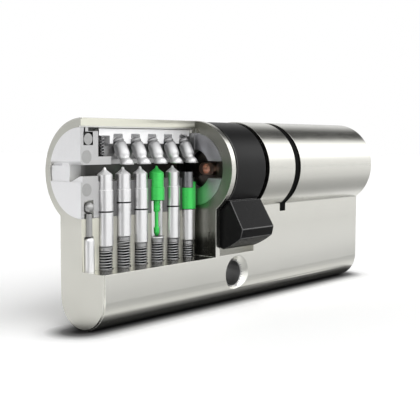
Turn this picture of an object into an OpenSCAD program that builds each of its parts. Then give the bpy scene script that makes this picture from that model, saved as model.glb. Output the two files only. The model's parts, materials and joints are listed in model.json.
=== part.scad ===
// Euro-profile double lock cylinder, sectioned on its front half.
// X runs along the plugs (front end at -X), Z is up and the fixing-screw hole runs along Y.
// The origin is the centre of the fixing-screw hole. Millimetres throughout.

/* [Profile] */
// Diameter of the round barrel of the profile
barrel_d = 17; // [16.5:0.1:18]
// Overall height of the profile, barrel top to flange bottom
profile_h = 33; // [31:0.25:36]
// Width of the flange under the barrel
flange_w = 10; // [9.5:0.1:10.5]
// Length from the fixing screw to the front face
front_len = 33; // [32.5:0.5:42]
// Length from the fixing screw to the rear face
rear_len = 43; // [42:0.5:52]
// Height of the plug axis above the fixing screw
axis_h = 18.85; // [18.4:0.05:19.3]
// Edge break on the profile's end faces
end_break = 0.25; // [0.1:0.05:0.4]

/* [Fixing screw hole] */
// Bore of the tapped hole for the M5 fixing screw
screw_bore_d = 4.4; // [4.2:0.05:4.6]
// Mouth diameter of its countersinks
screw_mouth_d = 6.6; // [6:0.1:7]
// Depth of each countersink
screw_mouth_depth = 1; // [0.4:0.1:1.2]

/* [Cam slot] */
// Width of the slot that the cam turns in
slot_w = 10; // [9.8:0.1:10.6]
// Clearance under the cam's nose
nose_gap = 0.15; // [0.1:0.05:0.4]

/* [Cutaway] */
// Thickness of housing left standing between the cam slot and the cutaway
cut_web = 1.13; // [0.95:0.02:1.3]
// Height of the cutaway's floor above the fixing screw
cut_floor = 3.58; // [3.2:0.05:4]
// Setback of the long cut from the plug axis towards the near side
cut_y = 0.1; // [0:0.05:0.3]

/* [Plugs] */
// Wall of the barrel around the plugs
barrel_wall = 1.45; // [1.3:0.05:1.8]
// Radial step from each plug down to its tail
tail_step = 0.65; // [0.5:0.05:0.9]
// Length of the tails inside the housing
tail_len = 1.4; // [1.35:0.05:1.6]
// Radial step from each tail down to the spigot that carries the cam
spigot_step = 1.35; // [1.2:0.05:1.5]
// Reach of each spigot into the cam
spigot_len = 1.5; // [1.2:0.1:1.8]
// How far the plug faces stand out of the housing
plug_proud = 0.1; // [0:0.05:0.2]
// Radial running clearance of turning pieces
turn_fit = 0.05; // [0.02:0.01:0.08]
// Radial clearance of sliding pins in their bores
slide_fit = 0.04; // [0.02:0.01:0.08]
// Diameter of the hollow inside each tail
tail_bore_d = 7; // [6.6:0.1:7.4]

/* [Keyway] */
// Height of the keyway above the plug axis
key_top = 1.25; // [1:0.05:1.4]
// Depth of the keyway below the plug axis
key_low = 1.4; // [1.2:0.05:1.6]
// Half width of the keyway
key_half = 4.1; // [3.8:0.1:4.4]
// Half width of the key hole in the front face
mouth_half = 2.8; // [2.4:0.1:3.2]
// Depth of the full-width recess across each plug face
mouth_depth = 0.2; // [0.1:0.05:0.6]
// Chamfer over the recess
mouth_break = 0.6; // [0.3:0.1:0.8]
// Height of the guide rib on the keyway floor
rib_h = 0.9; // [0.6:0.1:1]

/* [Pin columns] */
// Distance from each face to its first pin column
first_col = 5.05; // [4.8:0.05:5.4]
// Distance from the end of the cutaway to the last front column
last_col = 1.82; // [1.6:0.02:2.2]
// Distance from the rear clip's slot to the last rear column
last_rear_col = 2.7; // [2.2:0.1:4]
// Diameter of the key pins and drivers
pin_d = 2.66; // [2.5:0.02:2.8]
// Radial step from the key pins' lower part to their neck
neck_step = 0.11; // [0.08:0.01:0.16]
// Depth of the key pins' shoulder below the plug axis
shoulder_z = 2.7; // [2.5:0.05:2.9]
// Height of the key-pin tips above the plug axis at rest
tip_z = 0.85; // [0.6:0.05:0.95]
// Length of the plain drivers
driver_len = 5.45; // [5:0.05:5.6]
// Gap between faces that rest on each other
face_gap = 0.04; // [0.02:0.01:0.06]
// Depth of the chambers below the cutaway floor
chamber_extra = 0.6; // [0.4:0.1:1]
// Height of the first key pin's lower face above the shear line at rest
rise_1 = 0.91; // [0.76:0.02:1.06]
// Height of the second key pin's lower face above the shear line at rest
rise_2 = 2.18; // [2.03:0.02:2.33]
// Height of the third key pin's lower face above the shear line at rest
rise_3 = 0.85; // [0.7:0.02:1]
// Height of the fourth key pin's lower face above the shear line at rest
rise_4 = 2.03; // [1.88:0.02:2.18]
// Height of the fifth key pin's lower face above the shear line at rest
rise_5 = 0.9; // [0.75:0.02:1.05]
// Height of the sixth key pin's lower face above the shear line at rest
rise_6 = 0.23; // [0.08:0.02:0.38]

/* [Green pins] */
// How much wider the sixth key pin is than the others
pin6_extra = 0.24; // [0.14:0.02:0.3]
// Depth of the sixth key pin's seat below the plug axis
pin6_seat = 3.15; // [3:0.05:3.3]
// Depth of the sixth key pin's raised side below the plug axis
pin6_rise = 2.15; // [2:0.05:2.4]
// Distance from the sixth pin's centre to its raised side, negative towards the front
pin6_side = -0.05; // [-0.3:0.05:0.3]
// Top of the sixth pin's cap below the plug axis
cap6_top = 0.4; // [0.3:0.05:0.6]
// Length of the hollow driver under the fourth key pin
hollow_len = 6.25; // [6:0.05:6.4]
// Bore of the hollow driver
hollow_bore = 1.7; // [1.5:0.05:1.8]
// Diameter of the stem's ribbed head
stem_head_d = 1.25; // [1.1:0.05:1.35]
// Diameter of the stem
stem_d = 0.6; // [0.5:0.05:0.7]
// Diameter of the stem's foot
stem_foot_d = 0.95; // [0.8:0.05:1.05]

/* [Springs] */
// Wire diameter of the driver springs
wire_d = 0.2; // [0.18:0.01:0.22]
// Radial clearance of the driver springs in their chambers
coil_gap = 0.1; // [0.08:0.01:0.2]
// Spacing of the coils in the first driver spring
coil_pitch = 0.43; // [0.4:0.01:0.46]
// Wire diameter of the side bar's springs
bar_wire_d = 0.18; // [0.16:0.01:0.2]
// Coil diameter of the side bar's springs, over the wire
bar_coil_d = 0.96; // [0.9:0.02:1]
// Number of coils in the side bar's springs
bar_coils = 5; // [4:1:6]

/* [Side bar and side pins] */
// Height of the bar's underside above the plug axis
bar_low = 4.5; // [4.4:0.05:4.8]
// Height of the underside of the bar's ends
bar_end_low = 5.78; // [5.6:0.02:5.9]
// Near face of the bar, behind the plug axis
bar_near = 0.9; // [0.8:0.05:1]
// Depth of the bar's channel behind the plug axis
channel_y = 3.2; // [3:0.1:3.4]
// Depth of the open recess around the side pins, behind the plug axis
recess_y = 1.5; // [1.3:0.1:1.8]
// Gap between the bar's front end and its channel
bar_front_gap = 1.15; // [0.9:0.05:1.3]
// Length of the bar's thinner ends beyond their springs
bar_end_len = 1.3; // [0.9:0.1:1.5]
// Distance of the bar's front spring from the front end of the channel
bar_spring_back = 2.2; // [2:0.05:2.4]
// Lean of the side pins away from the near side, degrees
side_lean = 27.5; // [26:0.5:29]
// Diameter of the side pins
side_pin_d = 2.16; // [2:0.02:2.2]
// Diameter of the groove in the side pins
side_neck_d = 1.5; // [1.3:0.02:1.6]
// Diameter of the cap on the side pins
side_cap_d = 1.9; // [1.8:0.02:1.96]
// Setback of the side pins from the column centres, towards the front
side_pin_back = 0.1; // [0:0.05:0.2]
// Height of the side pins' feet above the plug axis
side_foot_z = 1.2; // [1.1:0.05:1.3]
// Setback of the side pins' feet towards the near side
side_foot_y = 1.05; // [0.9:0.05:1.15]
// Length of the side pins
side_pin_len = 4.75; // [4.65:0.05:4.85]
// Radial clearance of the side pins' caps in the bar
cap_play = 0.16; // [0.14:0.01:0.2]
// Room over the side pins' caps, along the pins
cap_room = 0.5; // [0.48:0.02:0.6]
// Height of the spring seats above the plug axis
seat_z = 2.5; // [2.3:0.05:2.7]

/* [Hardened inserts] */
// Diameter of the anti-drill pins across the plug
drill_pin_d = 2; // [1.8:0.05:2.1]
// Distance of the anti-drill pins behind the front face
drill_pin_x = 1.15; // [1.1:0.05:1.4]
// Height of the upper anti-drill pin above the plug axis
drill_pin_up = 2.48; // [2.4:0.02:2.6]
// Depth of the lower anti-drill pin below the plug axis
drill_pin_low = 2.6; // [2.5:0.02:2.8]
// Distance of the ball pockets behind the front face
pocket_x = 1.53; // [1.4:0.05:1.7]
// Diameter of the ball pockets
pocket_d = 2; // [1.9:0.05:2.2]
// Diameter of the balls
ball_d = 1.8; // [1.6:0.05:1.85]
// Height of the upper pocket's roof above the plug axis
pocket_roof = 6.35; // [6.25:0.05:6.5]
// Bottom of the upper pocket above the plug axis
pocket_up = 4.28; // [4:0.02:4.4]
// Top of the lower pocket below the plug axis
pocket_low = 4.22; // [4:0.02:4.4]
// Diameter of the hardened pin under the lower ball
insert_d = 1.2; // [1.1:0.05:1.3]
// Diameter of the guard pin in the housing
guard_d = 1.8; // [1.6:0.05:1.9]

/* [Cam] */
// How far the hub lies inside the barrel's outline
hub_sink = 0.15; // [0.05:0.05:0.3]
// Gap between the hub and the front side of the cam slot
hub_front_gap = 0.6; // [0.55:0.05:0.9]
// Gap between the hub and the rear side of the cam slot
hub_rear_gap = 1; // [0.8:0.05:1.2]
// Gap between the nose and the front side of the cam slot
nose_front_gap = 0.45; // [0.3:0.05:0.6]
// Gap between the nose's tip and the rear side of the cam slot
nose_rear_gap = 0.15; // [0.1:0.05:0.3]
// How much the nose widens from its root to its tip
nose_flare = 0.5; // [0.2:0.1:0.8]
// Thickness of the nose across its flanks
nose_t = 6.7; // [6.4:0.1:7]
// Radius swept by the nose
nose_r = 15; // [14.6:0.1:15.2]
// Chamfer of the nose corners
nose_break = 1.25; // [1:0.05:1.5]
// Angle of the nose from straight down, towards the near side
cam_angle = 29.4; // [20:0.2:40]

/* [Clips] */
// Distance from the screw to the rear clip's slot
clip_x = 13.4; // [13:0.1:14]
// Width of the rear clip's slot
clip_slot_w = 1.85; // [1.7:0.05:2]
// How far the clips lie inside the barrel's outline
clip_sink = 0.2; // [0.1:0.05:0.4]
// Depth of the groove for the rear clip in its plug
clip_groove = 0.8; // [0.6:0.05:1]
// Thickness of the front clip
front_clip_t = 0.45; // [0.4:0.05:0.5]

/* [Hidden] */
$fn = 64;
big = 60;
axle_bot = -(profile_h - barrel_d/2);
flange_r = flange_w/2;
slot_bot = -(nose_r + nose_gap);
floor_z = cut_floor - axis_h;
plug_d = barrel_d - 2*barrel_wall - 2*turn_fit;
tail_d = plug_d - 2*tail_step;
spigot_d = tail_d - 2*spigot_step;
bore_d = plug_d + 2*turn_fit;
tail_hole_d = tail_d + 2*turn_fit;
pin_neck_d = pin_d - 2*neck_step;
pin6_d = pin_d + pin6_extra;
pin_bore_d = pin_d + 2*slide_fit;
neck_bore_d = pin_neck_d + 2*slide_fit;
coil_d = pin_bore_d - 2*coil_gap;
half_slot = slot_w/2;
cut_x = half_slot + cut_web;
pitch = (front_len - first_col - last_col - cut_x)/5;
rear_pitch = (rear_len - first_col - last_rear_col - clip_x - clip_slot_w)/5;
step_x = half_slot + tail_len;
tail_end = half_slot - 0.55;
spigot_end = tail_end - spigot_len + 0.05;
wing_y = spigot_d/2 - 0.4;
clutch_end = 2.2;
hub_d = barrel_d - 2*hub_sink;
hub_front = half_slot - hub_front_gap;
hub_rear = half_slot - hub_rear_gap;
nose_rear = half_slot - nose_rear_gap;
clip_d = barrel_d - 2*clip_sink;
clip_seat_d = plug_d - 2*clip_groove;
ball_low = -pocket_low - ball_d - 0.25;
chamber_z = floor_z - chamber_extra;
shear_z = -bore_d/2;
col_x = [for (i = [0:5]) -front_len + first_col + pitch*i];
rear_x = [for (i = [0:5]) rear_len - first_col - rear_pitch*i];
split = [for (rise = [rise_1, rise_2, rise_3, rise_4, rise_5, rise_6]) bore_d/2 - rise];
drv_len = [driver_len, driver_len, driver_len, hollow_len, driver_len, driver_len];
channel_x0 = -front_len + 3.6;
channel_x1 = -(cut_x + 0.25);
bar_x0 = channel_x0 + bar_front_gap;
bar_x1 = channel_x1 - 0.06;
bar_top_d = plug_d - 0.1;
bar_spring_y = [bar_near + bar_coil_d/2, bar_near + bar_coil_d/2 + 0.25];
bar_spring_x = [channel_x0 + bar_spring_back, -cut_x - 0.59];
notch_y = [[-1.22, -0.59], [-0.16, 0.26]];
notch_top = 7.25;

// Everything below is drawn about the plug axis and lifted to its height over the screw.
module on_axis() translate([0, 0, axis_h]) children();

module x_rod(d, x0, x1) translate([x0, 0, 0]) rotate([0, 90, 0]) cylinder(d=d, h=x1 - x0);

module z_rod(d, x, z0, z1) translate([x, 0, z0]) cylinder(d=d, h=z1 - z0);

module block(x0, x1, y0, y1, z0, z1) translate([x0, y0, z0]) cube([x1 - x0, y1 - y0, z1 - z0]);

// A flat shape with its first axis along Y and its second along Z, made solid from x0 to x1.
module along_x(x0, x1) translate([x0, 0, 0]) rotate([90, 0, 90]) linear_extrude(x1 - x0) children();

module profile_flat(inset) {
  circle(d=barrel_d - 2*inset);
  translate([-flange_r + inset, axle_bot + flange_r]) square([flange_w - 2*inset, -axle_bot - flange_r]);
  translate([0, axle_bot + flange_r]) circle(d=flange_w - 2*inset);
}

// The body of the cylinder: barrel and flange in one, bored, slotted and cut away.
module housing() color([0.76, 0.75, 0.72]) on_axis() difference() {
  union() {
    along_x(-front_len + end_break, rear_len - end_break) profile_flat(0);
    along_x(-front_len, rear_len) profile_flat(end_break);
  }
  x_rod(bore_d, -front_len - 1, -step_x);
  x_rod(tail_hole_d, -big, big);
  x_rod(bore_d, step_x, rear_len + 1);
  block(-half_slot, half_slot, -big, big, slot_bot, big);
  for (x = col_x) z_rod(pin_bore_d, x, chamber_z, 0);
  for (x = rear_x) z_rod(pin_bore_d, x, chamber_z, 0);
  z_rod(pin6_d + 2*slide_fit, col_x[5], shear_z - 1, 0);
  z_rod(insert_d + 2*slide_fit, -front_len + pocket_x, floor_z + 4, 0);
  z_rod(guard_d + 2*slide_fit, -front_len + pocket_x, chamber_z, floor_z + 5.4);
  clip_slot();
  screw_hole();
  block(-big, -cut_x, -big, -cut_y, floor_z, big);
  for (y = notch_y) block(-big, -cut_x + 0.6, y[0], y[1], 6.3, notch_top);
}

module clip_slot() {
  block(clip_x, clip_x + clip_slot_w, -big, big, -4, big);
  for (s = [0, 1]) mirror([0, s, 0])
    block(clip_x, clip_x + clip_slot_w, 4, big, -8.35, 0);
}

module screw_hole() translate([0, 0, -axis_h]) rotate([90, 0, 0]) {
  translate([0, 0, -big/2]) cylinder(d=screw_bore_d, h=big);
  for (s = [0, 1]) mirror([0, 0, s]) translate([0, 0, flange_r - screw_mouth_depth])
    cylinder(d1=screw_bore_d, d2=screw_mouth_d, h=screw_mouth_depth + 0.001);
}

// One plug blank with its tail and spigot, pointing along +X from its face.
module plug_blank(len) {
  x_rod(plug_d, half_slot + tail_len + 0.05, len + plug_proud);
  x_rod(tail_d, tail_end, half_slot + tail_len + 1);
  x_rod(spigot_d, spigot_end, tail_end + 1);
}

// Keyway, face recess and the hollow tail with its cross slot.
module plug_hollows(len) {
  block(step_x - 1, len + 1, -key_half, key_half, -key_low, key_top);
  block(len - mouth_depth, len + 1, -big, big, -key_low, key_top);
  x_rod(tail_bore_d, 0, cut_x + 0.02);
  block(0, tail_end + 0.5, -big, big, -1.5, 1.5);
}

module front_plug() color([0.86, 0.86, 0.87]) on_axis() difference() {
  union() {
    difference() {
      mirror([1, 0, 0]) plug_blank(front_len);
      mirror([1, 0, 0]) plug_hollows(front_len);
      block(-cut_x, -cut_x + 3, -big, big, -1.5, 1.5);
      front_face_break();
    }
    key_rib();
    mouth_cheek();
  }
  block(-big, -cut_x, -big, -cut_y, -big, big);
  for (x = col_x) z_rod(pin_bore_d, x, -big, -shoulder_z);
  for (x = col_x) z_rod(neck_bore_d, x, -big, 0);
  z_rod(pin6_d + 2*slide_fit, col_x[5], -big, 0);
  bar_channel();
  inserts_pockets();
}

// The chamfered upper edge of the recess across the front face.
module front_face_break() translate([-front_len - plug_proud, 0, key_top])
  rotate([0, 45, 0]) cube([mouth_break*1.2, big, mouth_break*1.2], center=true);

module key_rib() along_x(-front_len + 0.3, channel_x0)
  polygon([[-1.2, -key_low - 0.5], [2.5, -key_low - 0.5], [2.5, -key_low], [0.45, -key_low + rib_h],
    [-1.2, -key_low + rib_h]]);

// Behind the recess the key hole is narrower than the keyway.
module mouth_cheek() block(-front_len + mouth_depth, -front_len + 2.6, mouth_half, key_half + 0.3,
  -key_low - 0.3, key_top + 0.3);

// Channel for the side bar, its spring seats and the holes that guide the side pins.
module bar_channel() {
  block(channel_x0, channel_x1, -1, channel_y, bar_low - 0.4, big);
  for (k = [0, 1]) block(bar_spring_x[k] - 0.55, bar_spring_x[k] + 0.5, -1, bar_spring_y[k] + 0.55, seat_z, big);
  block(channel_x0, channel_x1, -1, recess_y, seat_z, bar_low);
  block(bar_spring_x[0] + 0.6, channel_x1, -1, recess_y, 0, bar_low);
  block(bar_spring_x[0] + 0.6, channel_x1 - 0.5, -1, recess_y + 1.2, key_top + 0.75, key_top + 1.3);
  for (i = [1:5]) on_side_pin(i) translate([0, 0, -1.5])
    cylinder(d=side_pin_d + 2*slide_fit, h=side_pin_len + 2.2);
}

module inserts_pockets() {
  z_rod(pocket_d, -front_len + pocket_x, pocket_up, pocket_roof);
  z_rod(pocket_d, -front_len + pocket_x, -big, -pocket_low);
  block(-front_len + pocket_x, channel_x0 + 0.1, -1, 0.9, plug_d/2 - 0.58, big);
  block(-front_len + pocket_x - 0.9, -front_len + pocket_x - 0.6, -1, 0.9, pocket_up + 1, big);
  for (z = [drill_pin_up, -drill_pin_low]) translate([-front_len + drill_pin_x, -1, z])
    rotate([-90, 0, 0]) cylinder(d=drill_pin_d + 0.02, h=4.4);
}

module rear_plug() color([0.86, 0.86, 0.87]) on_axis() difference() {
  union() {
    difference() {
      plug_blank(rear_len);
      x_rod(big, clip_x - 0.05, clip_x + clip_slot_w + 0.05);
    }
    x_rod(clip_seat_d, clip_x - 1, clip_x + clip_slot_w + 1);
  }
  plug_hollows(rear_len);
  x_rod(2*wing_y + 0.6, tail_end + 0.1, step_x - 0.5);
  for (x = rear_x) z_rod(pin_bore_d, x, -big, -shoulder_z);
  for (x = rear_x) z_rod(neck_bore_d, x, -big, 0);
}

// The cam: a hub between the plugs with one nose that throws the bolt.
module cam() color([0.1, 0.1, 0.11]) on_axis() rotate([-cam_angle, 0, 0]) difference() {
  union() {
    x_rod(hub_d, -hub_front, hub_rear);
    nose_blank();
  }
  x_rod(clip_d + 0.3, -half_slot, -hub_front);
  x_rod(clip_d + 0.3, hub_rear, half_slot);
  x_rod(tail_bore_d, -big, big);
  x_rod(spigot_d + 2*turn_fit, -big, -spigot_end + 0.05);
  x_rod(spigot_d + 2*turn_fit, spigot_end - 0.05, big);
  rotate([cam_angle, 0, 0]) block(-hub_front - 1, hub_rear + 1, -wing_y - 0.1, wing_y + 0.1, -1.5, 1.5);
}

module nose_blank() intersection() {
  along_x(-half_slot + nose_front_gap, nose_rear) nose_flat();
  rotate([90, 0, 0]) linear_extrude(big, center=true)
    polygon([[-big, -nose_r - 1], [nose_rear, -nose_r - 1], [nose_rear, -nose_r + 1],
      [nose_rear - nose_flare, -7], [-big, -7]]);
}

module nose_flat() intersection() {
  polygon([[-nose_t/2, -8.1], [-nose_t/2, -nose_r + nose_break + 0.1],
    [-nose_t/2 + nose_break, -nose_r + 0.05], [-nose_t/2 + nose_break, -nose_r - 1],
    [nose_t/2 - nose_break, -nose_r - 1], [nose_t/2 - nose_break, -nose_r + 0.05],
    [nose_t/2, -nose_r + nose_break + 0.1], [nose_t/2, -8.1], [2, -7.2], [-2, -7.2]]);
  circle(r=nose_r);
}

// The coupling between plugs and cam: a slug with wings in the cam's cross slot.
module clutch() color([0.62, 0.6, 0.58]) on_axis() difference() {
  union() {
    x_rod(tail_bore_d - 2*turn_fit, -2, clutch_end);
    block(-1.3, tail_end - 0.35, -wing_y, wing_y, -1.4, 1.4);
  }
  clutch_seat(0.03);
}

module clutch_seat(gap) block(-2.8, -1, -1.75 - gap, 1.75 + gap, -1.1 - gap, 1.1 + gap);

module clutch_nose() color([0.72, 0.5, 0.38]) on_axis() difference() {
  union() {
    block(-2.75, -1.05, -0.9, 0.9, -1.1, 1.1);
    for (s = [-1, 1]) translate([-2.75, s*0.65, 0]) rotate([0, 90, 0]) cylinder(r=1.1, h=1.7);
  }
  x_rod(1.7, -big, -1.6);
}

// Open ring behind the housing's front half, in the front plug's tail groove.
module front_clip() color([0.07, 0.07, 0.07]) on_axis()
  along_x(-half_slot + 0.05, -half_slot + 0.05 + front_clip_t) difference() {
    circle(d=clip_d);
    circle(d=tail_d + 0.1);
    translate([-2, -20]) square([4, 20]);
  }

// The fork clip that holds the rear plug, flush in its slot across the barrel.
module rear_clip() color([0.07, 0.07, 0.07]) on_axis()
  along_x(clip_x + 0.08, clip_x + clip_slot_w - 0.08) difference() {
    intersection() {
      union() {
        circle(d=clip_d);
        translate([-flange_r + 0.05, -8.25]) square([flange_w - 0.1, 8.25]);
      }
      union() {
        translate([-20, -3.9]) square([40, 40]);
        translate([-20, -8.25]) square([15.9, 20]);
        translate([4.1, -8.25]) square([15.9, 20]);
      }
    }
    circle(d=clip_seat_d + 0.1);
  }

// Key pin i, pointed at the top, its lower face at its own height.
module pin_solid(x, low, dia) translate([x, 0, 0]) rotate_extrude()
  polygon([[0, -low], [dia/2 - 0.1, -low], [dia/2, -low + 0.1], [dia/2, -shoulder_z - 0.12],
    [pin_neck_d/2, -shoulder_z - 0.02], [pin_neck_d/2, tip_z - 1.2], [pin_neck_d/2 - 0.2, tip_z - 1.02],
    [0.3, tip_z - 0.45], [0.18, tip_z - 0.1], [0, tip_z]]);

module key_pin(i) color([0.9, 0.9, 0.9]) on_axis() pin_solid(col_x[i-1], split[i-1], pin_d);

module key_pin_4() color([0.25, 0.78, 0.33]) on_axis() pin_solid(col_x[3], split[3], pin_d);

// The sixth key pin has a seat for its cap and stands higher on one side.
module key_pin_6() color([0.25, 0.78, 0.33]) on_axis() difference() {
  translate([col_x[5], 0, -split[5]]) cylinder(d=pin6_d, h=split[5] - pin6_rise);
  block(col_x[5] - 3, col_x[5] + pin6_side, -3, 3, -pin6_seat, 0);
}

module key_pin_6_cap() color([0.3, 0.3, 0.32]) on_axis() intersection() {
  translate([col_x[5], 0, -pin6_seat + face_gap])
    cylinder(d=pin_d, h=pin6_seat - cap6_top - face_gap);
  block(col_x[5] - 3, col_x[5] + pin6_side - face_gap, -3, 3, -10, 10);
}

function driver_top(i) = -split[i-1] - face_gap;
function driver_low(i) = driver_top(i) - drv_len[i-1];

module driver(i) color([0.9, 0.9, 0.9]) on_axis() translate([col_x[i-1], 0, 0]) rotate_extrude()
  polygon([[0, driver_low(i)], [pin_d/2 - 0.1, driver_low(i)], [pin_d/2, driver_low(i) + 0.1],
    [pin_d/2, driver_top(i) - 0.1], [pin_d/2 - 0.1, driver_top(i)], [0, driver_top(i)]]);

// The hollow driver is opened on the near side so that the stem shows.
module driver_4() color([0.9, 0.9, 0.9]) on_axis() difference() {
  z_rod(pin_d, col_x[3], driver_low(4), driver_top(4));
  z_rod(hollow_bore, col_x[3], driver_low(4) + 0.25, 0);
  block(col_x[3] - 3, col_x[3] + 3, -3, -cut_y, driver_low(4) + 0.25, 0);
}

module stem_pin_4() color([0.25, 0.78, 0.33]) on_axis() translate([col_x[3], 0, 0]) rotate_extrude()
  polygon([[0, driver_top(4)], [stem_head_d/2, driver_top(4)], [stem_head_d/2, driver_top(4) - 0.4],
    [stem_head_d/2 - 0.12, driver_top(4) - 0.5], [stem_head_d/2 - 0.12, driver_top(4) - 0.65],
    [stem_head_d/2, driver_top(4) - 0.75], [stem_head_d/2, driver_top(4) - 1.15],
    [stem_head_d/2 - 0.12, driver_top(4) - 1.25], [stem_head_d/2 - 0.12, driver_top(4) - 1.4],
    [stem_head_d/2, driver_top(4) - 1.5], [stem_head_d/2 - 0.15, driver_top(4) - 1.85],
    [stem_d/2, driver_top(4) - 1.95], [stem_d/2, driver_top(4) - 4.4],
    [stem_foot_d/2, driver_top(4) - 4.6], [stem_foot_d/2, driver_top(4) - 5.4],
    [stem_foot_d/4, driver_top(4) - 5.9], [0, driver_top(4) - 5.95]]);

// A round-wire coil from z0 up to z1, sides flats per turn.
module coil(od, wire, z0, z1, turns, sides) {
  n = turns*sides;
  r = od/2 - wire/2;
  w = wire/2;
  lift = z1 - z0 - wire;
  ring = [for (k = [0:n]) let (a = 360*k/sides, z = z0 + w + lift*k/n)
    for (q = [45, 135, 225, 315]) [(r + w*cos(q))*cos(a), (r + w*cos(q))*sin(a), z + w*sin(q)]];
  skin = [for (k = [0:n-1]) for (q = [0:3]) let (p = 4*k + q, s = 4*k + (q + 1)%4)
    for (f = [[p, p + 4, s], [s, p + 4, s + 4]]) f];
  polyhedron(points=ring, faces=concat([[0, 1, 2], [0, 2, 3]], skin, [[4*n+2, 4*n+1, 4*n], [4*n+3, 4*n+2, 4*n]]));
}

function spring_turns(i) = max(6, round((driver_low(i) - chamber_z)/coil_pitch));

module spring(i) color([0.35, 0.35, 0.35]) on_axis() translate([col_x[i-1], 0, 0])
  coil(coil_d, wire_d, chamber_z + face_gap, driver_low(i) - face_gap, spring_turns(i), 10);

// The long bar over the side pins, rounded to the plug and borne on a spring at each end.
module side_bar() color([0.92, 0.92, 0.93]) on_axis() difference() {
  intersection() {
    block(bar_x0, bar_x1, bar_near, channel_y - 0.06, bar_low, big);
    x_rod(bar_top_d, -big, 0);
  }
  block(bar_x0 - 1, bar_spring_x[0] + bar_end_len, -1, big, bar_low - 1, bar_end_low);
  block(bar_spring_x[1] - 0.6, bar_x1 + 1, -1, big, bar_low - 1, bar_end_low);
  for (i = [1:5]) on_side_pin(i) translate([0, 0, 2])
    cylinder(d=side_cap_d + 2*cap_play, h=side_pin_len + cap_room - 2);
}

module bar_spring(k) color([0.2, 0.2, 0.2]) on_axis() translate([bar_spring_x[k], bar_spring_y[k], 0])
  coil(bar_coil_d, bar_wire_d, seat_z + face_gap, bar_end_low - face_gap, bar_coils, 12);

// Side pin i stands over column i + 1 and leans away from the near side.
module on_side_pin(i) translate([col_x[i] - side_pin_back, -side_foot_y, side_foot_z])
  rotate([-side_lean, 0, 0]) children();

module side_pin(i) color([0.92, 0.92, 0.93]) on_axis() intersection() {
  on_side_pin(i) rotate_extrude()
    polygon([[0, -1], [side_pin_d/2, -1], [side_pin_d/2, 0.1], [side_pin_d/2 - 0.15, 0.6],
      [side_neck_d/2, 0.9], [side_neck_d/2, 1.15], [side_pin_d/2 - 0.08, 1.45], [side_pin_d/2, 1.8],
      [side_pin_d/2, 2.8], [side_pin_d/2 - 0.1, 3.15], [side_cap_d/2 - 0.2, 3.3], [side_cap_d/2 - 0.2, 3.42],
      [side_cap_d/2, 3.6], [side_cap_d/2, 4.1], [side_cap_d/2 - 0.14, side_pin_len - 0.32],
      [side_cap_d/2 - 0.42, side_pin_len - 0.08], [0, side_pin_len]]);
  block(-big, 0, -big, big, side_foot_z, big);
}

module anti_drill_pins() color([0.55, 0.55, 0.56]) on_axis()
  for (z = [drill_pin_up, -drill_pin_low]) translate([-front_len + drill_pin_x, -cut_y, z])
    rotate([-90, 0, 0]) cylinder(d=drill_pin_d, h=3.4);

// The upper ball is sectioned with the plug.
module upper_ball() color([0.6, 0.6, 0.6]) on_axis()
  translate([-front_len + pocket_x, 0, pocket_up + ball_d/2 + face_gap]) rotate([-90, 0, 0]) rotate_extrude()
    difference() {
      circle(d=ball_d);
      translate([-big, -big]) square([big, 2*big]);
      translate([0, -big]) square([big, big - cut_y]);
    }

module lower_ball() color([0.75, 0.75, 0.75]) on_axis()
  translate([-front_len + pocket_x, 0, -pocket_low - ball_d/2 - 0.25]) sphere(d=ball_d);

module insert_pin() color([0.5, 0.5, 0.5]) on_axis()
  z_rod(insert_d, -front_len + pocket_x, floor_z + 5.45, ball_low - face_gap);

module guard_pin() color([0.9, 0.9, 0.9]) on_axis() translate([-front_len + pocket_x, 0, 0]) rotate_extrude()
  polygon([[0, chamber_z + face_gap], [guard_d/2, chamber_z + face_gap], [guard_d/2, floor_z + 4.75],
    [guard_d/2 - 0.2, floor_z + 5.15], [guard_d/2 - 0.5, floor_z + 5.3], [0, floor_z + 5.36]]);

module rear_key_pins() color([0.9, 0.9, 0.9]) on_axis() for (x = rear_x)
  translate([0, 0, -0.6]) pin_solid(x, plug_d/2 - 0.7, pin_d);

module rear_drivers() color([0.9, 0.9, 0.9]) on_axis() for (x = rear_x)
  z_rod(pin_d, x, shear_z - driver_len, shear_z);

module rear_springs() color([0.35, 0.35, 0.35]) on_axis() for (x = rear_x) translate([x, 0, 0])
  coil(coil_d, wire_d, chamber_z + face_gap, shear_z - driver_len - face_gap, 6, 8);

housing();
front_plug();
rear_plug();
cam();
clutch();
clutch_nose();
front_clip();
rear_clip();
key_pin(1);  // key_pin_1
key_pin(2);  // key_pin_2
key_pin(3);  // key_pin_3
key_pin_4();
key_pin(5);  // key_pin_5
key_pin_6();
key_pin_6_cap();
driver(1);  // driver_1
driver(2);  // driver_2
driver(3);  // driver_3
driver_4();
driver(5);  // driver_5
driver(6);  // driver_6
stem_pin_4();
spring(1);  // spring_1
spring(2);  // spring_2
spring(3);  // spring_3
spring(4);  // spring_4
spring(5);  // spring_5
spring(6);  // spring_6
side_bar();
bar_spring(0);  // bar_spring_front
bar_spring(1);  // bar_spring_rear
side_pin(1);  // side_pin_1
side_pin(2);  // side_pin_2
side_pin(3);  // side_pin_3
side_pin(4);  // side_pin_4
side_pin(5);  // side_pin_5
anti_drill_pins();
upper_ball();
lower_ball();
insert_pin();
guard_pin();
rear_key_pins();
rear_drivers();
rear_springs();
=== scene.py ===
"""Euro-profile double lock cylinder, its front half cut away to show the pins, on a pale studio floor."""
import json
import math

import bmesh
import bpy
from mathutils import Matrix, Vector

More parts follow.
